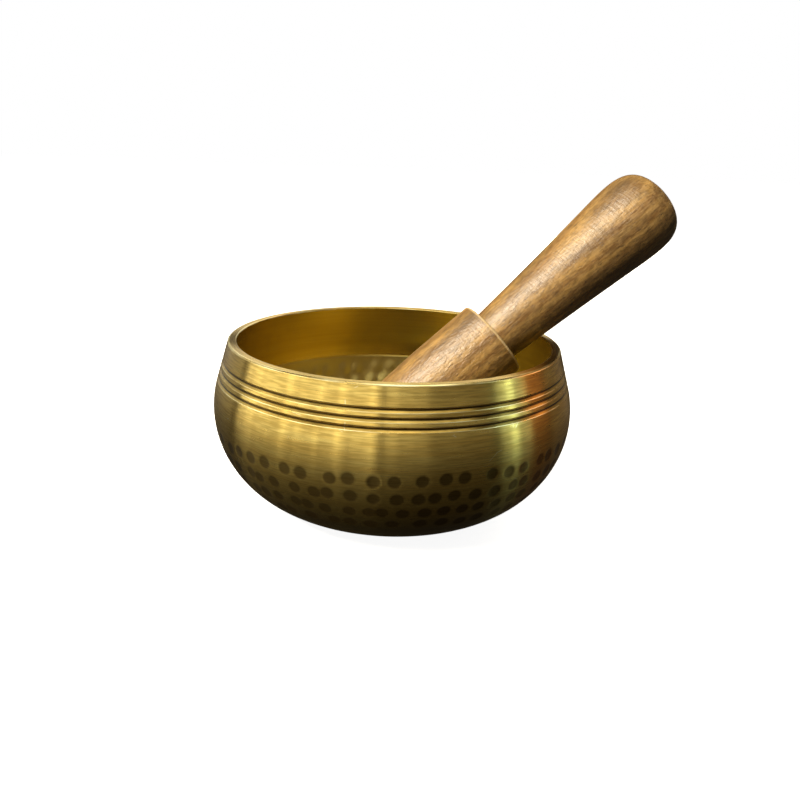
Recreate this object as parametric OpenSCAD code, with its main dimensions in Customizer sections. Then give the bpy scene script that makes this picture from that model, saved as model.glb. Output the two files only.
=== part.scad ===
// Singing bowl: a turned brass bowl with its turned wooden mallet leaning in it, end on
// the floor of the bowl and handle on the lip. Shallow hammer marks below the belly are
// left to the surface finish.
// The origin is the centre of the bowl's flat base, on the surface it stands on.
// +Z is up, and the mallet leans towards +X.

/* [Bowl] */
// Widest diameter, across the belly
bowl_d = 100; // [94:1:106]
// Height from the base to the lip
bowl_h = 46.7; // [45:0.1:49]
// Diameter of the flat base
base_d = 44; // [40:1:48]
// Thickness of the wall, the same all over
wall = 2.3; // [1.8:0.1:2.8]
// How far the neck leans inwards from upright, in degrees
neck_lean = 16.6; // [14:0.2:19]
// Chamfer on both edges of the lip
lip_chamfer = 0.3; // [0.1:0.05:0.5]

/* [Grooves round the neck] */
// Number of grooves
groove_count = 3; // [1:1:3]
// Distance along the neck from the lip to the first groove
groove_first = 5.2; // [3:0.1:5.6]
// Distance along the neck from one groove to the next
groove_pitch = 2.2; // [1.8:0.1:2.3]
// Width of one groove
groove_w = 1.2; // [0.6:0.1:1.4]
// Depth of one groove
groove_depth = 0.5; // [0.2:0.05:0.8]
// Where the groove is deepest, as a share of its width below its top edge
groove_skew = 0.3; // [0.1:0.05:0.9]

/* [Mallet] */
// Length of the head, from its end to the shoulder
head_len = 59; // [56:0.5:62]
// Diameter of the head at the shoulder
head_d = 23.4; // [22:0.1:25]
// How much thinner the head is at its end
head_taper = 5.2; // [2:0.1:8]
// Radius of the head's rounded end edge
head_round = 3; // [1:0.5:5]
// Length of the handle, from the shoulder to the tip
handle_len = 62; // [56:0.5:70]
// Diameter of the handle at the shoulder
neck_d = 15.6; // [13:0.1:18]
// Diameter that the handle's flare would reach at the tip, if the tip weren't rounded
flare_d = 26.5; // [24:0.1:29]
// How far the flare is hollowed halfway along
flare_hollow = 0.25; // [0:0.05:0.6]
// Length of the rounded tip
tip_len = 20; // [14:0.5:26]

/* [How the mallet leans] */
// Angle of the mallet above level
lean = 40; // [38:0.5:43]
// Direction that the mallet leans in, turned from +X towards +Y
lean_turn = 15.4; // [0:0.1:30]
// How far the mallet's axis passes beside the bowl's axis
lean_side = -1.9; // [-5:0.1:5]
// Free gap between the mallet and the brass
gap = 0.25; // [0.2:0.05:0.5]

/* [Hidden] */
brass = "#b28a34";
wood = "#8f6238";
turn_facets = 180;
spare = 1;

// The bowl's section: a flat base, one round corner that swells to the belly, and a
// straight neck that touches the corner.
base_r = base_d / 2;
corner_r = bowl_d / 2 - base_r;
neck_top = (bowl_h - corner_r - corner_r * sin(neck_lean)) / cos(neck_lean);
lip_r = base_r + corner_r * cos(neck_lean) - neck_top * sin(neck_lean);
mouth_r = lip_r - wall / cos(neck_lean);

// The mallet's section.
head_r = head_d / 2;
end_r = head_r - head_taper / 2;
barrel_start = 15;
neck_r = neck_d / 2;
shoulder_chamfer = 0.4;
tip_squareness = 4;
curve_steps = 16;

// A point on the neck, some way down from the lip and some way into the wall.
function neck_point(along, inset = 0) =
    [lip_r + along * sin(neck_lean) - inset * cos(neck_lean),
     bowl_h - along * cos(neck_lean) - inset * sin(neck_lean)];

// The outside of the bowl, or its hollow when inset is the wall's thickness.
module swell(inset, top) {
    touch = [base_r + (corner_r - inset) * cos(neck_lean),
             corner_r + (corner_r - inset) * sin(neck_lean)];
    rise = top - touch[1];
    intersection() {
        union() {
            translate([base_r, corner_r]) circle(corner_r - inset, $fn = turn_facets);
            polygon([
                [0, inset],
                [base_r, inset],
                [base_r, corner_r],
                touch,
                [touch[0] - rise * tan(neck_lean), top],
                [0, top]
            ]);
        }
        translate([0, inset]) square([bowl_d, top - inset]);
    }
}

// One groove: a steep flank on top and a shallow one below.
module groove_section(along) {
    polygon([
        neck_point(along, -spare),
        neck_point(along),
        neck_point(along + groove_w * groove_skew, groove_depth),
        neck_point(along + groove_w),
        neck_point(along + groove_w, -spare)
    ]);
}

// What the chamfer takes off an edge of the lip: side is 1 outside and -1 inside.
module lip_edge_section(r, side) {
    below = bowl_h - lip_chamfer;
    polygon([
        [r - side * lip_chamfer, bowl_h + spare],
        [r - side * lip_chamfer, bowl_h],
        [r + lip_chamfer * tan(neck_lean), below],
        [r + side * spare, below],
        [r + side * spare, bowl_h + spare]
    ]);
}

module bowl_section() {
    difference() {
        swell(0, bowl_h);
        swell(wall, bowl_h + spare);
        for (i = [0 : groove_count - 1]) {
            groove_section(groove_first + i * groove_pitch);
        }
        lip_edge_section(lip_r, 1);
        lip_edge_section(mouth_r, -1);
    }
}

module bowl() {
    color(brass) rotate_extrude($fn = turn_facets) bowl_section();
}

// Radius of the head at a distance below the shoulder, and of the handle above it.
function head_radius(below) =
    head_r - head_taper / 2 * pow(max(0, below - barrel_start) / (head_len - barrel_start), 2);
function tip_share(above) = max(0, above - handle_len + tip_len) / tip_len;
function handle_radius(above) =
    (neck_r + (flare_d - neck_d) / 2 * above / handle_len - flare_hollow * sin(180 * above / handle_len))
    * pow(1 - pow(tip_share(above), tip_squareness), 1 / tip_squareness);

module mallet_section() {
    end_edge = [for (i = [0 : curve_steps / 2])
        let (a = 180 / curve_steps * i)
        [end_r - head_round * (1 - sin(a)), head_round * (1 - cos(a))]];
    head = [for (i = [1 : curve_steps])
        let (up = head_round + (head_len - shoulder_chamfer - head_round) * i / curve_steps)
        [head_radius(head_len - up), up]];
    handle = [for (i = [0 : curve_steps])
        let (up = (handle_len - tip_len) * i / curve_steps)
        [handle_radius(up), head_len + up]];
    tip = [for (i = [1 : curve_steps - 1])
        let (up = handle_len - tip_len * (1 - sin(90 * i / curve_steps)))
        [handle_radius(up), head_len + up]];
    polygon(concat(
        [[0, 0]],
        end_edge,
        head,
        [[head_r - shoulder_chamfer, head_len]],
        handle,
        tip,
        [[0, head_len + handle_len]]
    ));
}

// The mallet's end stands on the floor, and its handle rests on the inner edge of the lip.
reach = sqrt(mouth_r * mouth_r - lean_side * lean_side);
end_z = wall + gap + (end_r - head_round) * cos(lean) + head_round * (1 - sin(lean));
function end_x(r) = reach - (bowl_h + (r + gap) / cos(lean) - end_z) / tan(lean);
function contact(x) = (reach - x) * cos(lean) + (bowl_h - end_z) * sin(lean) - head_len;
function contact_r(tries) = tries == 0 ? neck_r : handle_radius(contact(end_x(contact_r(tries - 1))));

module mallet() {
    color(wood)
        rotate([0, 0, lean_turn])
            translate([end_x(contact_r(4)), lean_side, end_z])
                rotate([0, 90 - lean, 0])
                    rotate_extrude($fn = 96) mallet_section();
}

bowl();
mallet();
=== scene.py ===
# %% [markdown]
# # A hammered brass singing bowl with its mallet
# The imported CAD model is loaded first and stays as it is: it fixes where the bowl and the mallet
# are and how big they are. Everything built here is a finer skin over those two solids. All
# lengths are in metres, so a value that a maker would give in millimetres is written times MM.

# %% Load the frame
import math
import random

import bmesh
import bpy
from mathutils import Euler, Matrix, Quaternion, Vector, kdtree


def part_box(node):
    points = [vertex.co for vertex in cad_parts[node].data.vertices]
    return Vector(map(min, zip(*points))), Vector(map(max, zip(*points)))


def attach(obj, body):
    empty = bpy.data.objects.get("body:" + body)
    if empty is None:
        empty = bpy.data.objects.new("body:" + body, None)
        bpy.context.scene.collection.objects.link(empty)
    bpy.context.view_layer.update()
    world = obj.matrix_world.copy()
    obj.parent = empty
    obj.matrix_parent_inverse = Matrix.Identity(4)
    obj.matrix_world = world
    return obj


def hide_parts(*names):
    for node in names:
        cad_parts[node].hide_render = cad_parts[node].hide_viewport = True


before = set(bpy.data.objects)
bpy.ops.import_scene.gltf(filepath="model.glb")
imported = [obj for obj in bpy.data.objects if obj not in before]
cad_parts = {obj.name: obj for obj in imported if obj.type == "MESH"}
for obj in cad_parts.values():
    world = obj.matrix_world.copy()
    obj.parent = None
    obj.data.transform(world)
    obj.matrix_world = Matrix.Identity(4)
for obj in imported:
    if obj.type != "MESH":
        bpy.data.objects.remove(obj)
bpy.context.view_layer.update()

MM = 0.001

# %% [markdown]
# ## Drawing a section
# Both pieces are turned on a lathe, so each one is a section drawn on one side of the Z axis and
# then spun round it. A section could be typed in as a list of points, but it is easier to read as
# a pen path: straight strokes are an extruded vertex, and arcs are a vertex spun about the arc's
# centre. The pen stays in the XZ plane, with X as the radius.

# %% Pen strokes for a section
def straight(section, pen, radius, z, parts=1):
    """Draw a straight stroke in equal parts and return the vertex at its end."""
    start = pen.co.copy()
    for part in range(1, parts + 1):
        pen = bmesh.ops.extrude_vert_indiv(section, verts=[pen])["verts"][0]
        pen.co = start.lerp(Vector((radius, 0, z)), part / parts)
    return pen


def arc(section, pen, centre_radius, centre_z, angle, steps):
    """Draw an arc about a centre in the section's plane and return the vertex at its end."""
    stroke = bmesh.ops.spin(
        section,
        geom=[pen],
        cent=(centre_radius, 0, centre_z),
        axis=(0, -1, 0),
        angle=angle,
        steps=steps,
    )
    return stroke["geom_last"][0]


def turn_on_lathe(section, steps):
    """Spin a section round the Z axis and close its seam and its two poles."""
    bmesh.ops.spin(
        section,
        geom=section.verts[:] + section.edges[:],
        cent=(0, 0, 0),
        axis=(0, 0, 1),
        angle=math.tau,
        steps=steps,
        use_merge=True,
    )
    bmesh.ops.remove_doubles(section, verts=section.verts, dist=0.001 * MM)
    bmesh.ops.recalc_face_normals(section, faces=section.faces)


# %% [markdown]
# ## The bowl's section
# The bowl was cast or spun from brass sheet, turned smooth outside, and grooved three times round
# the neck. Its outside is a flat foot, one round corner that swells to the belly, and a straight
# neck that touches the corner and leans inwards. The hollow follows it at the wall's thickness.
# The foot, the corner and the neck come from the CAD box and a few sizes in millimetres.

# %% Sizes of the bowl
bowl_low, bowl_high = (Vector(corner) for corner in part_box("bowl"))
bowl_height = bowl_high.z
belly_r = bowl_high.x
foot_r = 22 * MM
corner_r = belly_r - foot_r
wall = 2.3 * MM
neck_lean = math.radians(16.6)
lip_chamfer = 0.3 * MM

neck_start = Vector((
    foot_r + corner_r * math.cos(neck_lean),
    0,
    corner_r * (1 + math.sin(neck_lean)),
))
lip_r = neck_start.x - (bowl_height - neck_start.z) * math.tan(neck_lean)
mouth_r = lip_r - wall / math.cos(neck_lean)
print("bowl: belly radius %.2f mm, lip radius %.2f mm" % (belly_r / MM, lip_r / MM))


def neck_point(along, inset=0.0):
    """A point on the neck: a distance down from the lip and a depth into the wall."""
    radius = lip_r + along * math.sin(neck_lean) - inset * math.cos(neck_lean)
    z = bowl_height - along * math.cos(neck_lean) - inset * math.sin(neck_lean)
    return radius, z


# %% [markdown]
# ## Spinning the bowl
# The hammer marks need a fine mesh, but only on the round corner below the belly. So the corner is
# drawn as three arcs, and the middle one has many more steps than the others. The steps round the
# bowl are as long as the fine steps down it. Every edge that stands out, at the grooves and the
# lip, is bevelled a hair, because a cut edge on brass always catches a thin line of light. Those
# bevels go to their own material slot, as does the hollow.

# %% Section of the bowl
groove_count = 3
groove_first = 5.2 * MM
groove_pitch = 2.2 * MM
groove_width = 1.2 * MM
groove_depth = 0.5 * MM
groove_skew = 0.3

hammered_from = math.radians(46)
hammered_to = math.radians(1)
fine_step = 0.5 * MM
foot_step = 1.6 * MM
belly_step = 1.2 * MM
round_steps = 600


def round_corner(section, pen, radius, direction, hammered_step):
    """The corner in three arcs: plain, hammered and plain. Direction is 1 going up, -1 going down."""
    spans = [
        (math.pi / 2 - hammered_from, foot_step),
        (hammered_from - hammered_to, hammered_step),
        (hammered_to + neck_lean, belly_step),
    ]
    for span, step in spans[::direction]:
        steps = max(1, round(radius * span / step))
        pen = arc(section, pen, foot_r, corner_r, direction * span, steps)
    return pen


bowl_mesh = bmesh.new()
pen = bowl_mesh.verts.new((0, 0, 0))
pen = straight(bowl_mesh, pen, foot_r, 0, parts=4)
pen = round_corner(bowl_mesh, pen, corner_r, 1, fine_step)
for groove in reversed(range(groove_count)):
    top = groove_first + groove * groove_pitch
    pen = straight(bowl_mesh, pen, *neck_point(top + groove_width))
    pen = straight(bowl_mesh, pen, *neck_point(top + groove_width * groove_skew, groove_depth))
    pen = straight(bowl_mesh, pen, *neck_point(top))
pen = straight(bowl_mesh, pen, *neck_point(lip_chamfer / math.cos(neck_lean)))
pen = straight(bowl_mesh, pen, lip_r - lip_chamfer, bowl_height)
pen = straight(bowl_mesh, pen, mouth_r + lip_chamfer, bowl_height)
mouth_chamfer_r = mouth_r + lip_chamfer * math.tan(neck_lean)
pen = straight(bowl_mesh, pen, mouth_chamfer_r, bowl_height - lip_chamfer)
hollow_r = corner_r - wall
pen = straight(
    bowl_mesh,
    pen,
    foot_r + hollow_r * math.cos(neck_lean),
    corner_r + hollow_r * math.sin(neck_lean),
    parts=2,
)
pen = round_corner(bowl_mesh, pen, hollow_r, -1, 2 * fine_step)
pen = straight(bowl_mesh, pen, 0, wall, parts=4)

turn_on_lathe(bowl_mesh, round_steps)

# %% Bevel the cut edges
outside_slot, inside_slot, edge_slot = 0, 1, 2
cut_angle = math.radians(15)
cut_bevel = 0.1 * MM
cut_edges = [
    edge for edge in bowl_mesh.edges
    if edge.is_manifold and edge.is_convex and edge.calc_face_angle() > cut_angle
]
edge_faces = bmesh.ops.bevel(
    bowl_mesh,
    geom=cut_edges,
    offset=cut_bevel,
    affect="EDGES",
    segments=1,
    profile=0.5,
    material=-1,
)["faces"]
for face in edge_faces:
    face.material_index = edge_slot
print("bowl: %d vertices, %d faces" % (len(bowl_mesh.verts), len(bowl_mesh.faces)))

# %% [markdown]
# ## Hammer marks
# After turning, the maker taps rows of round, flat-bottomed marks below the belly with a small
# punch. Cutting each mark with a boolean would be slow and would leave ragged faces. Pressing the
# mesh in is quicker: near each mark's centre, vertices move inwards. Each mark is placed a little
# off its even place, because it is done by eye. The same blow shows inside as a wide soft bump.
# The rows aren't quite level: they drop on the left. The distance to the nearest mark is kept in
# an attribute, so that the finish can follow it, and the depth in the grooves in another.

# %% Places of the marks
mark_r = 1.95 * MM
mark_depth = 0.1 * MM
row_first = math.radians(7)
row_step = math.radians(9.7)
mark_pitches = [5.6 * MM, 5.0 * MM, 4.7 * MM, 5.2 * MM]
row_drop = math.radians(3.5)
row_lift = math.radians(0.7)
hammering = random.Random(7)


def corner_point(around, below, radius):
    """A point on the round corner: an angle round the bowl and an angle below the belly."""
    out = foot_r + radius * math.cos(below)
    return Vector((
        out * math.sin(around),
        -out * math.cos(around),
        corner_r - radius * math.sin(below),
    ))


def row_sag(around):
    """How far the rows drop on the left, where the maker's hand drifted, as an angle."""
    left = max(0.0, -math.sin(around))
    return row_drop * left ** 1.5 - row_lift


marks = []
for row, pitch in enumerate(mark_pitches):
    below = row_first + row * row_step
    ring_r = foot_r + corner_r * math.cos(below)
    count = round(math.tau * ring_r / pitch)
    phase = hammering.random()
    for i in range(count):
        around = math.tau * (i + phase + hammering.uniform(-0.2, 0.2)) / count
        slip = hammering.uniform(-0.35, 0.35) * MM / corner_r
        size = hammering.uniform(0.94, 1.05)
        marks.append((around, below + slip + row_sag(around), size))
print("hammer marks:", len(marks))


# %% Helpers for pressing
mark_slope = 0.4
mark_flat_depth = 0.8


def smooth_step(value):
    """A ramp from 0 to 1 with soft ends."""
    value = min(1.0, max(0.0, value))
    return value * value * (3 - 2 * value)


def dish(share):
    """How deep a mark is at a share of its radius: 1 in its middle, a bit less over most of it,
    then a soft slope up to 0 at its rim."""
    middle = (1 - mark_flat_depth) * max(0, 1 - share * share)
    return smooth_step((1 - share) / mark_slope) * (mark_flat_depth + middle)


def corner_normal(place):
    """Straight out of the round corner at a place on it."""
    out = math.hypot(place.x, place.y)
    ring = Vector((place.x / out * foot_r, place.y / out * foot_r, corner_r))
    return (place - ring).normalized()


def neighbours(vertices):
    """A search tree over vertices, to find those near a point quickly."""
    tree = kdtree.KDTree(len(vertices))
    for i, vertex in enumerate(vertices):
        tree.insert(vertex.co, i)
    tree.balance()
    return tree


# %% Note how deep each vertex is in a groove
groove_layer = bowl_mesh.verts.layers.float.new("groove_depth")
grooves_top = neck_point(groove_first)[1] + 0.02 * MM
for vertex in bowl_mesh.verts:
    if neck_start.z < vertex.co.z < grooves_top:
        out = math.hypot(vertex.co.x, vertex.co.y)
        neck_out = lip_r + (bowl_height - vertex.co.z) * math.tan(neck_lean)
        depth = (neck_out - out) * math.cos(neck_lean)
        in_wall = depth < 1.1 * groove_depth
        vertex[groove_layer] = depth / groove_depth if in_wall else 0.0

# %% Press the marks in
mark_reach = 2.0
mark_layer = bowl_mesh.verts.layers.float.new("mark_distance")
outside, inside = [], []
for vertex in bowl_mesh.verts:
    vertex[mark_layer] = mark_reach
    out = math.hypot(vertex.co.x, vertex.co.y)
    from_ring = math.hypot(out - foot_r, vertex.co.z - corner_r)
    if vertex.co.z < corner_r and out > foot_r:
        (outside if from_ring > corner_r - wall / 2 else inside).append(vertex)

bump_r = 2.7 * MM
bump_height = 0.3 * MM
outside_tree = neighbours(outside)
inside_tree = neighbours(inside)
pushes = {}
for around, below, size in marks:
    radius = mark_r * size
    centre = corner_point(around, below, corner_r)
    for _, i, distance in outside_tree.find_range(centre, mark_reach * radius):
        vertex = outside[i]
        share = distance / radius
        vertex[mark_layer] = min(vertex[mark_layer], share)
        pushes[vertex] = min(pushes.get(vertex, 0), -mark_depth * dish(share))
    centre = corner_point(around, below, hollow_r)
    for _, i, distance in inside_tree.find_range(centre, bump_r):
        vertex = inside[i]
        soft = smooth_step(1 - distance / bump_r)
        pushes[vertex] = min(pushes.get(vertex, 0), -bump_height * soft)
for vertex, push in pushes.items():
    vertex.co += corner_normal(vertex.co) * push
print("vertices pressed:", len(pushes))

# %% [markdown]
# ## From bmesh to object
# A finished mesh becomes an object at the origin, with its place in its mesh, as the CAD nodes
# are. Faces are shaded smooth, and edges that turn more sharply than a limit are kept crisp.


# %% Make an object from a bmesh
def finish_piece(mesh_data, name, sharp_degrees):
    """Turn a bmesh into an object and return it."""
    for face in mesh_data.faces:
        face.smooth = True
    for edge in mesh_data.edges:
        if edge.is_manifold:
            edge.smooth = edge.calc_face_angle() < math.radians(sharp_degrees)
    mesh = bpy.data.meshes.new(name)
    mesh_data.to_mesh(mesh)
    mesh_data.free()
    piece = bpy.data.objects.new(name, mesh)
    bpy.context.scene.collection.objects.link(piece)
    triangles = sum(len(polygon.vertices) - 2 for polygon in mesh.polygons)
    print("%s: %d triangles" % (name, triangles))
    return piece


# %% Material slots of the bowl
top_face_depth = 0.05 * MM
chamfer_low = bowl_height - lip_chamfer
for face in bowl_mesh.faces:
    centre = face.calc_center_median()
    out = math.hypot(centre.x, centre.y)
    from_ring = math.hypot(max(0, out - foot_r), centre.z - corner_r)
    on_neck = centre.z > neck_start.z
    neck_half = lip_r + (bowl_height - centre.z) * math.tan(neck_lean) - wall / 2
    in_hollow = out < neck_half if on_neck else from_ring < corner_r - wall / 2
    if in_hollow and centre.z < chamfer_low and face.material_index == outside_slot:
        face.material_index = inside_slot
    on_chamfer = chamfer_low < centre.z < bowl_height - top_face_depth
    if on_chamfer and out > (lip_r + mouth_r) / 2:
        face.material_index = edge_slot

bowl = finish_piece(bowl_mesh, "hammered_bowl", sharp_degrees=12)
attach(bowl, "bowl")
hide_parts("bowl")

# %% [markdown]
# ## The mallet's section
# The mallet is one piece of hardwood turned between centres: a stout head with a softly rounded
# end, a square shoulder, and a handle that starts thin and swells to a rounded knob. It is drawn
# standing on its end on the Z axis, with the same pen, and its outline is a formula for the radius
# at each height. A squashed quarter circle rounds the knob.

# %% Sizes of the mallet
head_length = 59 * MM
head_r = 11.7 * MM
head_taper = 2.6 * MM
barrel = 15 * MM
end_round = 3 * MM
handle_length = 62 * MM
handle_r = 7.8 * MM
flare = 5.42 * MM
flare_hollow = 0.25 * MM
knob_length = 20 * MM
knob_squareness = 4
shoulder_chamfer = 0.4 * MM


def head_radius(below):
    """Radius of the head at a distance below the shoulder."""
    share = max(0, below - barrel) / (head_length - barrel)
    return head_r - head_taper * share ** 2


def handle_radius(above):
    """Radius of the handle at a distance above the shoulder."""
    share = above / handle_length
    cone = handle_r + flare * share - flare_hollow * math.sin(math.pi * share)
    knob = max(0, above - handle_length + knob_length) / knob_length
    return cone * (1 - knob ** knob_squareness) ** (1 / knob_squareness)


# %% Turn the mallet
mallet_mesh = bmesh.new()
end_r = head_r - head_taper
pen = mallet_mesh.verts.new((0, 0, 0))
pen = straight(mallet_mesh, pen, end_r - end_round, 0, parts=4)
pen = arc(mallet_mesh, pen, end_r - end_round, end_round, math.pi / 2, 8)
head_steps = 48
for i in range(1, head_steps + 1):
    up = end_round + (head_length - shoulder_chamfer - end_round) * i / head_steps
    pen = straight(mallet_mesh, pen, head_radius(head_length - up), up)
pen = straight(mallet_mesh, pen, head_r - shoulder_chamfer, head_length)
pen = straight(mallet_mesh, pen, handle_r, head_length, parts=3)
handle_steps = 36
for i in range(1, handle_steps + 1):
    above = (handle_length - knob_length) * i / handle_steps
    pen = straight(mallet_mesh, pen, handle_radius(above), head_length + above)
knob_steps = 28
for i in range(1, knob_steps + 1):
    above = handle_length - knob_length * (1 - math.sin(math.pi / 2 * i / knob_steps))
    pen = straight(mallet_mesh, pen, handle_radius(above), head_length + above)
mallet_round_steps = 256
turn_on_lathe(mallet_mesh, mallet_round_steps)

# %% Soften the shoulder
shoulder_angle = math.radians(30)
shoulder_bevel = 0.15 * MM
shoulder_edges = [
    edge for edge in mallet_mesh.edges
    if edge.is_manifold and edge.calc_face_angle() > shoulder_angle
]
bmesh.ops.bevel(
    mallet_mesh,
    geom=shoulder_edges,
    offset=shoulder_bevel,
    affect="EDGES",
    segments=2,
    profile=0.5,
    material=-1,
)

# %% [markdown]
# ## Leaning the mallet in the bowl
# The mallet's end stands on the bowl's floor and its handle rests on the lip. The lean and the
# place of the end are the CAD's own. One matrix carries them: stand the mallet up, tip it over
# towards +X, turn it a little towards +Y and move its end into place. The matrix moves the mesh
# itself, so the object stays at the origin.

# %% Place the mallet
lean = math.radians(40)
lean_turn = math.radians(15.4)
end_centre = Vector((-15.34, -6.20, 8.29)) * MM
print("mallet: %.0f mm long, %.0f degrees above level" % (
    (head_length + handle_length) / MM,
    math.degrees(lean),
))
lean_rotation = Euler((0, math.pi / 2 - lean, lean_turn))
mallet_place = Matrix.Translation(end_centre) @ lean_rotation.to_matrix().to_4x4()
bmesh.ops.transform(mallet_mesh, matrix=mallet_place, verts=mallet_mesh.verts)

mallet = finish_piece(mallet_mesh, "turned_mallet", sharp_degrees=40)
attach(mallet, "mallet")
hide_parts("mallet")

# %% [markdown]
# ## Colours and nodes
# Colours are written as a maker would pick them on a screen, in sRGB hex. Shaders work in linear
# light, so one function converts them. Another adds any node, with its settings by name. Its
# inputs are a list in their own order, or go by name or number, and each is a value, an output of
# another node, or a whole node, which stands for its first output in use. A finish is built like
# paint, in layers: each layer shows where a pattern rises from a first value to a second one.


# %% Helpers for materials
def colour(hex_code):
    """An sRGB hex colour as linear red, green, blue and alpha."""
    channels = [int(hex_code[i:i + 2], 16) / 255 for i in (1, 3, 5)]
    linear = [c / 12.92 if c <= 0.04045 else ((c + 0.055) / 1.055) ** 2.4 for c in channels]
    return (*linear, 1.0)


def add(tree, kind, inputs=(), **settings):
    """Add a node, set its properties, and fill its inputs with values or links."""
    new = tree.nodes.new(kind)
    for name, value in settings.items():
        setattr(new, name, value)
    for socket, value in inputs.items() if isinstance(inputs, dict) else enumerate(inputs):
        if isinstance(value, bpy.types.Node):
            value = next(output for output in value.outputs if output.enabled)
        if isinstance(value, bpy.types.NodeSocket):
            tree.links.new(value, new.inputs[socket])
        else:
            new.inputs[socket].default_value = value
    return new


def new_material(name):
    """A material with an empty node tree, and that tree."""
    material = bpy.data.materials.new(name)
    material.use_nodes = True
    material.node_tree.nodes.clear()
    return material, material.node_tree


def paint_layers(tree, tone, layers):
    """Lay colours over a tone. A layer is a pattern, the value where it starts to show, the value
    where it is full, its strength there, and its colour."""
    for pattern, start, full, strength, over in layers:
        share = add(tree, "ShaderNodeMapRange", [pattern, start, full, 0.0, strength])
        tone = add(tree, "ShaderNodeMix", {0: share, 6: tone, 7: colour(over)}, data_type="RGBA")
    return tone


def use_material(piece, material, tree, shader):
    """Give a material its surface shader, and give the piece its next slot."""
    add(tree, "ShaderNodeOutputMaterial", [shader])
    piece.data.materials.append(material)
    print("%s: %d nodes" % (material.name, len(tree.nodes)))


# %% [markdown]
# ## Brass, brushed on the lathe
# The bowl is plain brass, CuZn, left uncoated. Held against abrasive while it turns, it gets fine
# lines that run round it. They pull every highlight out into a vertical streak: that is what
# anisotropy does, and its rotation of a quarter turn sets the streak across the lines. The real
# lines are a few hundredths of a millimetre apart, too fine to see, so they are drawn 0.3 mm
# apart. A height plus a radius gives a number that changes down every slope of the bowl, so the
# same lines run round the neck, across the lip and under the foot.


# %% Patterns that follow the lathe
def brush_lines(tree, around_mm, across_mm, detail):
    """Noise in cells that are this long round the bowl and this wide, as grey from 0 to 1."""
    place = add(tree, "ShaderNodeTexCoord").outputs["Object"]
    x, y, z = add(tree, "ShaderNodeSeparateXYZ", [place]).outputs
    flat = add(tree, "ShaderNodeCombineXYZ", [x, y])
    radius = add(tree, "ShaderNodeVectorMath", [flat], operation="LENGTH")
    down = add(tree, "ShaderNodeMath", [z, radius], operation="ADD")
    turned = add(tree, "ShaderNodeCombineXYZ", [x, y, down])
    scale = (1 / (around_mm * MM), 1 / (around_mm * MM), 1 / (across_mm * MM))
    cells = add(tree, "ShaderNodeVectorMath", [turned, scale], operation="MULTIPLY")
    return add(tree, "ShaderNodeTexNoise", {"Vector": cells, "Scale": 1.0, "Detail": detail})


def scratches(tree, cell_mm, width_share, share_kept):
    """A few short straight scratches: the borders of big cells, kept only in patches."""
    place = add(tree, "ShaderNodeTexCoord").outputs["Object"]
    scale = 1 / (cell_mm * MM)
    borders = add(
        tree, "ShaderNodeTexVoronoi", {"Vector": place, "Scale": scale}, feature="DISTANCE_TO_EDGE"
    )
    patches = add(tree, "ShaderNodeTexNoise", {"Vector": place, "Scale": 2.3 * scale})
    line = add(tree, "ShaderNodeMapRange", [borders, 0.0, width_share, 1.0, 0.0])
    kept = add(tree, "ShaderNodeMapRange", [patches, 1 - share_kept, 1.04 - share_kept])
    return add(tree, "ShaderNodeMath", [line, kept], operation="MULTIPLY")


# %% [markdown]
# ## The outside: brushed, hammered, stained, with painted shade below
# Typical brass: metallic 1, default IOR, roughness about 0.3 when brushed. Below the belly the
# colour darkens towards the foot, with a wavering upper edge. This is partly a brown stain, where
# the brass was never polished back after hammering, and partly painted shade for the dark table
# that the lower body reflects. Inside each mark the punch leaves a darker, duller disc that no
# brush has touched. The bottoms of the grooves are darkened, partly by dirt and partly as painted
# shade.

# %% Patterns of the outside
outside_brass, tree = new_material("brushed_brass_hammered")
place = add(tree, "ShaderNodeTexCoord").outputs["Object"]
height = add(tree, "ShaderNodeSeparateXYZ", [place]).outputs["Z"]
fine_lines = brush_lines(tree, 6, 0.3, 3.0)
wide_lines = brush_lines(tree, 30, 1.2, 4.0)
wide_bands = add(tree, "ShaderNodeMapRange", [wide_lines, 0.35, 0.65, 0.4, 1.0])
scratch = scratches(tree, 9, 0.012, 0.36)

# Darker towards the foot: partly a brown stain, partly painted shade for the dark table reflected
# below.
stain_and_shade_top = 34 * MM
stain_and_shade_full = 9 * MM
stain_and_shade_waver = 3 * MM
cloud = add(tree, "ShaderNodeTexNoise", {"Vector": place, "Scale": 1 / (22 * MM), "Detail": 3.0})
waver = add(
    tree, "ShaderNodeMath", [cloud, stain_and_shade_waver, -stain_and_shade_waver / 2], operation="MULTIPLY_ADD"
)
stain_and_shade_height = add(tree, "ShaderNodeMath", [height, waver], operation="ADD")
stain_and_shade = add(tree, "ShaderNodeMapRange", [stain_and_shade_height, stain_and_shade_top, stain_and_shade_full])
stain_and_shade = add(tree, "ShaderNodeMath", [stain_and_shade, 0.8], operation="POWER")

from_mark = add(tree, "ShaderNodeAttribute", attribute_name="mark_distance").outputs["Fac"]
in_mark = add(
    tree, "ShaderNodeMapRange", [from_mark, 1.1, 0.66], interpolation_type="SMOOTHSTEP"
)
# Depth in the grooves, used to darken their bottoms: partly dirt, partly painted shade.
groove_dirt_and_shade = add(tree, "ShaderNodeAttribute", attribute_name="groove_depth").outputs["Fac"]

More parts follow.
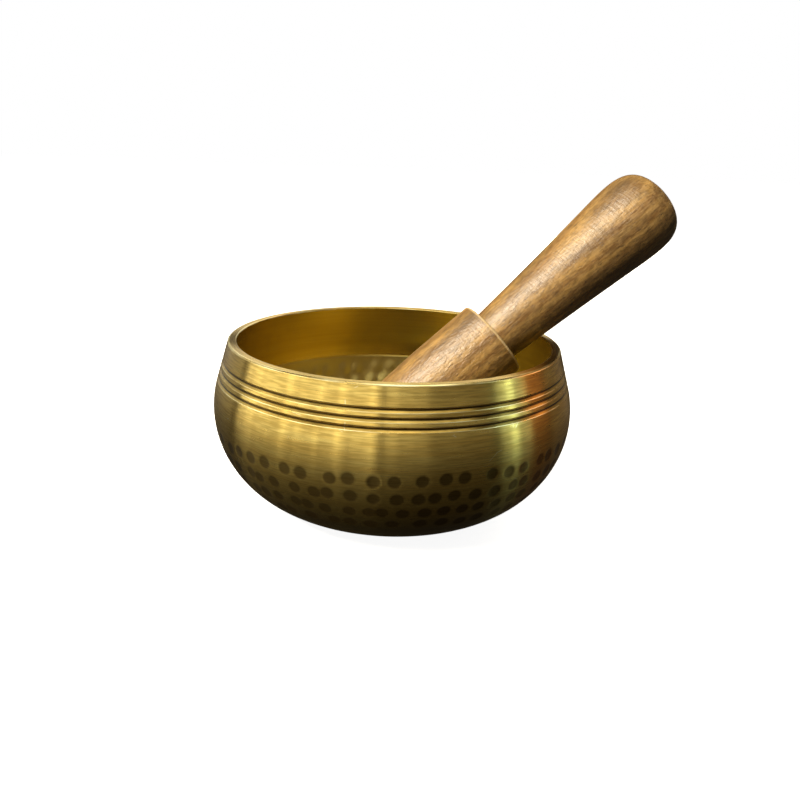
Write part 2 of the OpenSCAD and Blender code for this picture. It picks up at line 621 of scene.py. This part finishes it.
# %% Material of the outside
tone = paint_layers(tree, colour("#d4a94c"), [
    (wide_bands, 0.0, 1.0, 1.0, "#e6c66a"),
    (fine_lines, 0.42, 0.62, 0.55, "#a8873e"),
    (scratch, 0.0, 1.0, 0.7, "#fff0b8"),
    # Darker towards the foot: partly stain, partly painted shade.
    (stain_and_shade, 0.0, 1.0, 0.93, "#332910"),
    (in_mark, 0.0, 1.0, 0.78, "#36260f"),
    # Groove bottoms darkened: partly dirt, partly painted shade.
    (groove_dirt_and_shade, 0.5, 0.85, 0.92, "#1c1206"),
])
brushed = add(tree, "ShaderNodeMapRange", [fine_lines, 0.3, 0.7, 0.27, 0.32])
rough = add(tree, "ShaderNodeMath", [in_mark, 0.08, brushed], operation="MULTIPLY_ADD")
relief = add(tree, "ShaderNodeBump", {
    "Height": fine_lines,
    "Strength": 0.15,
    "Distance": 0.02 * MM,
})
shader = add(tree, "ShaderNodeBsdfPrincipled", {
    "Base Color": tone,
    "Metallic": 1.0,
    "Roughness": rough,
    "Normal": relief,
    "Anisotropic": 1.0,
    "Anisotropic Rotation": 0.25,
})
use_material(bowl, outside_brass, tree, shader)

# %% [markdown]
# ## The inside: smooth spun brass
# The hollow was only smoothed, so it is satin with faint rings. Light bounces from wall to wall in
# it and takes the brass colour twice, which is why it glows amber. The neck was skimmed once more
# than the rest: below it the brass is paler and duller, and the tool left a fine step.

# %% Material of the inside
inside_brass, tree = new_material("spun_brass_satin")
place = add(tree, "ShaderNodeTexCoord").outputs["Object"]
height = add(tree, "ShaderNodeSeparateXYZ", [place]).outputs["Z"]
rings = brush_lines(tree, 60, 0.5, 2.0)
unpolished = add(
    tree, "ShaderNodeMapRange", [height, 29.6 * MM, 28.6 * MM], interpolation_type="SMOOTHSTEP"
)
tone = paint_layers(tree, colour("#d8bb52"), [
    (rings, 0.3, 0.7, 1.0, "#e2c65c"),
    (unpolished, 0.0, 1.0, 1.0, "#c9b568"),
])
relief = add(tree, "ShaderNodeBump", {"Height": rings, "Strength": 0.12, "Distance": 0.02 * MM})
step = add(tree, "ShaderNodeMapRange", [height, 28.7 * MM, 29.3 * MM])
relief = add(tree, "ShaderNodeBump", {
    "Height": step,
    "Strength": 0.7,
    "Distance": 0.2 * MM,
    "Normal": relief,
}, invert=True)
shader = add(tree, "ShaderNodeBsdfPrincipled", {
    "Base Color": tone,
    "Metallic": 1.0,
    "Roughness": add(tree, "ShaderNodeMapRange", [unpolished, 0.0, 1.0, 0.27, 0.37]),
    "Normal": relief,
    "Anisotropic": 0.4,
    "Anisotropic Rotation": 0.25,
})
use_material(bowl, inside_brass, tree, shader)

# %% [markdown]
# ## Worn edges with a painted highlight
# The thin bevels at the grooves and the lip's chamfer are rubbed by hands and by the mallet, and no
# brush line crosses them. Their paler colour is partly that wear and partly a painted highlight,
# the thin bright line that a cut edge catches. They are the same brass, cleaner and a little
# rounder in its shine.

# %% Material of the edges
edge_brass, tree = new_material("brass_edge_wear_and_highlight")
wear_and_highlight = brush_lines(tree, 9, 0.6, 3.0)
shader = add(tree, "ShaderNodeBsdfPrincipled", {
    # Pale layer: partly wear, partly a painted highlight along the edges.
    "Base Color": paint_layers(tree, colour("#d8b45a"), [(wear_and_highlight, 0.35, 0.65, 1.0, "#fff0ae")]),
    "Metallic": 1.0,
    "Roughness": add(tree, "ShaderNodeMapRange", [wear_and_highlight, 0.3, 0.7, 0.24, 0.36]),
})
use_material(bowl, edge_brass, tree, shader)

# %% [markdown]
# ## Oiled hardwood
# The mallet is a brown open-pored hardwood such as sheesham, turned, sanded and rubbed with oil.
# Its grain runs along it: growth rings about 3 mm wide, cut off-centre, and pores 1 to 3 mm long
# that show as short dark dashes. The real pores are about 0.1 mm wide, too fine to see, so they
# are drawn 0.3 mm wide. A Mapping node set to TEXTURE stands the pattern up on the mallet's own
# axis, so that its Z runs from the end to the knob. A little noise added to the coordinates bends
# the grain, as a growing tree does.


# %% Patterns that follow the grain
def grain_noise(tree, grain, across_mm, along_mm, detail=2.0, distortion=0.0):
    """Noise in cells that are this wide across the grain and this long along it."""
    scale = (1 / (across_mm * MM), 1 / (across_mm * MM), 1 / (along_mm * MM))
    return add(tree, "ShaderNodeTexNoise", {
        "Vector": add(tree, "ShaderNodeMapping", {"Vector": grain, "Scale": scale}),
        "Scale": 1.0,
        "Detail": detail,
        "Distortion": distortion,
    })


wood, tree = new_material("oiled_hardwood")
place = add(tree, "ShaderNodeTexCoord").outputs["Object"]
grain = add(
    tree,
    "ShaderNodeMapping",
    {"Vector": place, "Location": end_centre, "Rotation": lean_rotation},
    vector_type="TEXTURE",
)
bend = 2.5 * MM
bend_noise = grain_noise(tree, grain, 12, 40).outputs["Color"]
waver = add(tree, "ShaderNodeVectorMath", [bend_noise, (bend, bend, 0)], operation="MULTIPLY")
bent = add(tree, "ShaderNodeVectorMath", [grain, waver], operation="ADD")

# The rings lie round a pith outside the mallet. The length is scaled down, so that their wobble
# is long and slow along the grain. A wave repeats every 0.314 units, divided by its scale.
ring_width = 3.2 * MM
from_pith = add(tree, "ShaderNodeMapping", {
    "Vector": bent,
    "Location": (26 * MM, 14 * MM, 0),
    "Scale": (1, 1, 0.06),
})
rings = add(
    tree,
    "ShaderNodeTexWave",
    {"Vector": from_pith, "Scale": 0.314 / ring_width, "Distortion": 1.5, "Detail": 2.0},
    wave_type="RINGS",
    rings_direction="Z",
).outputs["Fac"]
fibres = grain_noise(tree, bent, 0.38, 5, detail=3.0)
pores = grain_noise(tree, bent, 0.32, 2.2, detail=1.0)
patches = grain_noise(tree, grain, 8, 18)
figure = grain_noise(tree, bent, 0.8, 2.2, detail=5.0)
ripple = grain_noise(tree, grain, 3.0, 0.7)
dents = grain_noise(tree, grain, 1.6, 2.6, distortion=1.5)

# %% [markdown]
# ## Dents on the head, and a painted highlight on the shoulder's rim
# Two places differ from the rest. The head is dented by striking, and the rim of its shoulder
# has a painted highlight, a pale line where its edge catches light. Both follow from the distance
# along the mallet's axis and the distance from it.

# %% Masks of the head and the shoulder's rim
along = add(tree, "ShaderNodeSeparateXYZ", [grain]).outputs["Z"]
on_head = add(tree, "ShaderNodeMapRange", [along, head_length + 1 * MM, head_length - 1 * MM])

# The shoulder's rim gets a painted highlight: a pale line where its edge catches light.
rim_middle = head_length - 0.25 * MM
past_rim = add(tree, "ShaderNodeMath", [along, rim_middle], operation="SUBTRACT")
to_rim = add(tree, "ShaderNodeMath", [past_rim], operation="ABSOLUTE")
near_rim = add(tree, "ShaderNodeMapRange", [to_rim, 0.55 * MM, 0.2 * MM])
across = add(tree, "ShaderNodeVectorMath", [grain, (1, 1, 0)], operation="MULTIPLY")
from_axis = add(tree, "ShaderNodeVectorMath", [across], operation="LENGTH")
on_rim = add(tree, "ShaderNodeMapRange", [from_axis, head_r - 0.5 * MM, head_r - 0.3 * MM])
painted_rim_highlight = add(tree, "ShaderNodeMath", [near_rim, on_rim], operation="MULTIPLY")

# %% Material of the mallet
tone = paint_layers(tree, colour("#8c6431"), [
    (rings, 0.2, 0.9, 1.0, "#b1894b"),
    (fibres, 0.35, 0.7, 0.5, "#d0ac70"),
    (figure, 0.44, 0.6, 0.42, "#5e4522"),
    (patches, 0.44, 0.72, 0.6, "#4c3a22"),
    (pores, 0.62, 0.68, 0.45, "#45301a"),
    # Painted highlight on the shoulder's rim.
    (painted_rim_highlight, 0.0, 1.0, 0.7, "#e6cc9a"),
])
relief = add(tree, "ShaderNodeBump", {
    "Height": add(tree, "ShaderNodeMapRange", [pores, 0.62, 0.68]),
    "Strength": 0.3,
    "Distance": 0.1 * MM,
}, invert=True)
on_head_only = add(tree, "ShaderNodeMath", [on_head, 0.8], operation="MULTIPLY")
for height, strength in ((figure, 0.5), (ripple, 0.5), (dents, on_head_only)):
    relief = add(tree, "ShaderNodeBump", {
        "Height": height,
        "Strength": strength,
        "Distance": 0.25 * MM,
        "Normal": relief,
    })
shader = add(tree, "ShaderNodeBsdfPrincipled", {
    "Base Color": tone,
    "Roughness": add(tree, "ShaderNodeMapRange", [fibres, 0.3, 0.7, 0.4, 0.54]),
    "Normal": relief,
    "Specular IOR Level": 0.9,
    "Coat Weight": 0.25,
    "Coat Roughness": 0.45,
})
use_material(mallet, wood, tree, shader)

# %% [markdown]
# ## Floor
# The floor is plain, pale and matt, and glows a little so that it stays as white as the space
# behind it. Reflections don't see it, so the lower body reflects shade, as metalware does over a
# dark table.

# %% Floor
floor_mesh = bmesh.new()
bmesh.ops.create_grid(floor_mesh, x_segments=1, y_segments=1, size=6)
floor = finish_piece(floor_mesh, "floor", sharp_degrees=30)
floor_paint, tree = new_material("matt_pale_board")
shader = add(tree, "ShaderNodeBsdfPrincipled", {
    "Base Color": colour("#efefed"),
    "Roughness": 0.9,
    "Emission Color": colour("#ffffff"),
    "Emission Strength": 0.92,
})
use_material(floor, floor_paint, tree, shader)
floor.visible_glossy = False
floor.visible_diffuse = False

# %% [markdown]
# ## Light on the brass
# Brass shows whatever surrounds it, so the light is arranged as for metalware: broad soft panels
# and narrow strips from the left to the front, a gap of shade on the right of the front, then one
# bright cool strip with a warm card beside it. Weak panels lift the shade, and panels at the back
# and overhead draw the lip. They are there for their reflections only, so matt light is turned
# off, and light linking keeps them off everything but the bowl.


# %% Soft panels round the bowl
def panel(name, turn, rise, wide, tall, strength, tint="#ffffff", distance=0.8):
    """An area light aimed at the bowl. Turn is its direction, from the front towards +X, and rise
    is how far it stands above level. Wide and tall are its size as the bowl sees it. All four are
    in degrees, and distance is in metres."""
    turn, rise = math.radians(turn), math.radians(rise)
    level = math.cos(rise)
    direction = Vector((math.sin(turn) * level, -math.cos(turn) * level, math.sin(rise)))
    light = bpy.data.lights.new(name, "AREA")
    light.shape = "RECTANGLE"
    light.size = 2 * distance * math.tan(math.radians(wide / 2))
    light.size_y = 2 * distance * math.tan(math.radians(tall / 2))
    light.energy = strength * 4 * light.size * light.size_y
    light.color = colour(tint)[:3]
    lamp = bpy.data.objects.new(name, light)
    lamp.location = Vector((0, 0, bowl_height / 2)) + direction * distance
    lamp.rotation_euler = direction.to_track_quat("Z", "Y").to_euler()
    bpy.context.scene.collection.objects.link(lamp)
    return lamp


reflected = []
for i in range(4):
    reflected.append(panel("front_panel_%d" % i, -67 + 17 * i, 20, 16, 50, 1.15))
for i in range(3):
    reflected.append(panel("front_edge_%d" % i, 9 * i, 22, 8, 46, 0.8 * 0.55 ** i))
reflected.append(panel("left_panel", -91, 20, 30, 50, 0.95))
for i, turn in enumerate((-101, -95, -91, -84, -77, -66, -57, -44, -31, -12)):
    wide = 1.4 + 0.6 * (i % 3)
    reflected.append(panel("left_strip_%d" % i, turn, 20, wide, 50, 1.7, distance=0.75))
reflected.append(panel("right_panel", 79, 15, 24, 44, 0.75, "#d8f2ff"))
reflected.append(panel("right_strip", 77, 15, 5, 44, 2.4, "#ccf4ff", distance=0.75))
reflected.append(panel("warm_card", 104, 24, 22, 12, 2.0, "#ffb48c"))
reflected.append(panel("shade_fill", 37, 20, 50, 50, 0.16))
reflected.append(panel("left_fill", -130, 20, 40, 50, 0.38))
reflected.append(panel("right_fill", 128, 10, 34, 50, 0.1, "#ffe6cc"))
reflected.append(panel("back_panel", 180, 34, 54, 30, 1.4))
reflected.append(panel("top_panel", 40, 74, 40, 40, 0.9))
reflected.append(panel("overhead", -30, 84, 40, 40, 1.0))

lit_by_panels = bpy.data.collections.new("lit_by_panels")
lit_by_panels.objects.link(bowl)
for lamp in reflected:
    lamp.visible_diffuse = False
    lamp.light_linking.receiver_collection = lit_by_panels
print("panels for the brass:", len(reflected))

# %% [markdown]
# ## Light on the wood
# Wood needs light with a direction, to show that it is round. One warm key light from the upper
# left does that, and also throws the shadow on the floor. A weak one from behind keeps the back
# of the mallet from going black, without a highlight of its own. Both are kept off the brass.

# %% Key light and back fill
key = panel("key", -50, 49, 24, 24, 26, "#fff2d8")
back_fill = panel("back_fill", 150, 22, 40, 40, 4, "#fff2d8")
back_fill.visible_glossy = False
lit_by_key = bpy.data.collections.new("lit_by_key")
lit_by_key.objects.link(mallet)
lit_by_key.objects.link(floor)
for lamp in (key, back_fill):
    lamp.light_linking.receiver_collection = lit_by_key
print("lights for the wood:", key.name, "and", back_fill.name)

# %% [markdown]
# ## World
# The world is three things in one. The camera sees plain white behind the object. Reflections see
# a dim warm grey, so brass between two panels stays dark. Matt surfaces get a soft grey light
# from above, as in a white tent.

# %% World
world = bpy.data.worlds.new("studio")
bpy.context.scene.world = world
world.use_nodes = True
tree = world.node_tree
tree.nodes.clear()
path = add(tree, "ShaderNodeLightPath")
direction = add(tree, "ShaderNodeTexCoord").outputs["Generated"]
rise = add(tree, "ShaderNodeSeparateXYZ", [direction]).outputs["Z"]
shade = paint_layers(tree, colour("#1a1612"), [
    (rise, -0.1, 0.6, 1.0, "#606060"),
    (path.outputs["Is Glossy Ray"], 0.0, 1.0, 1.0, "#403a30"),
    (path.outputs["Is Camera Ray"], 0.0, 1.0, 1.0, "#ffffff"),
])
backdrop = add(tree, "ShaderNodeBackground", [shade, 1.0])
add(tree, "ShaderNodeOutputWorld", [backdrop])
print("world: %d nodes" % len(tree.nodes))

# %% [markdown]
# ## Camera
# The camera stands close and a little above the bowl, so the mouth shows as an ellipse. It is
# tipped very slightly, as a hand-held camera is.

# %% Camera
eye = Vector((0, -205.2, 95.0)) * MM
target = Vector((2.1, 0, 28.37)) * MM
tip = math.radians(2.13)
camera_data = bpy.data.cameras.new("camera")
camera_data.sensor_width = 36
camera_data.lens = 33.75
camera_data.clip_start = 10 * MM
camera = bpy.data.objects.new("camera", camera_data)
camera.rotation_mode = "QUATERNION"
camera.rotation_quaternion = (target - eye).to_track_quat("-Z", "Y") @ Quaternion((0, 0, 1), tip)
camera.location = eye
bpy.context.scene.collection.objects.link(camera)
bpy.context.scene.camera = camera
bpy.context.scene.view_settings.view_transform = "Standard"
print("camera: %.0f mm from the bowl" % ((target - eye).length / MM))
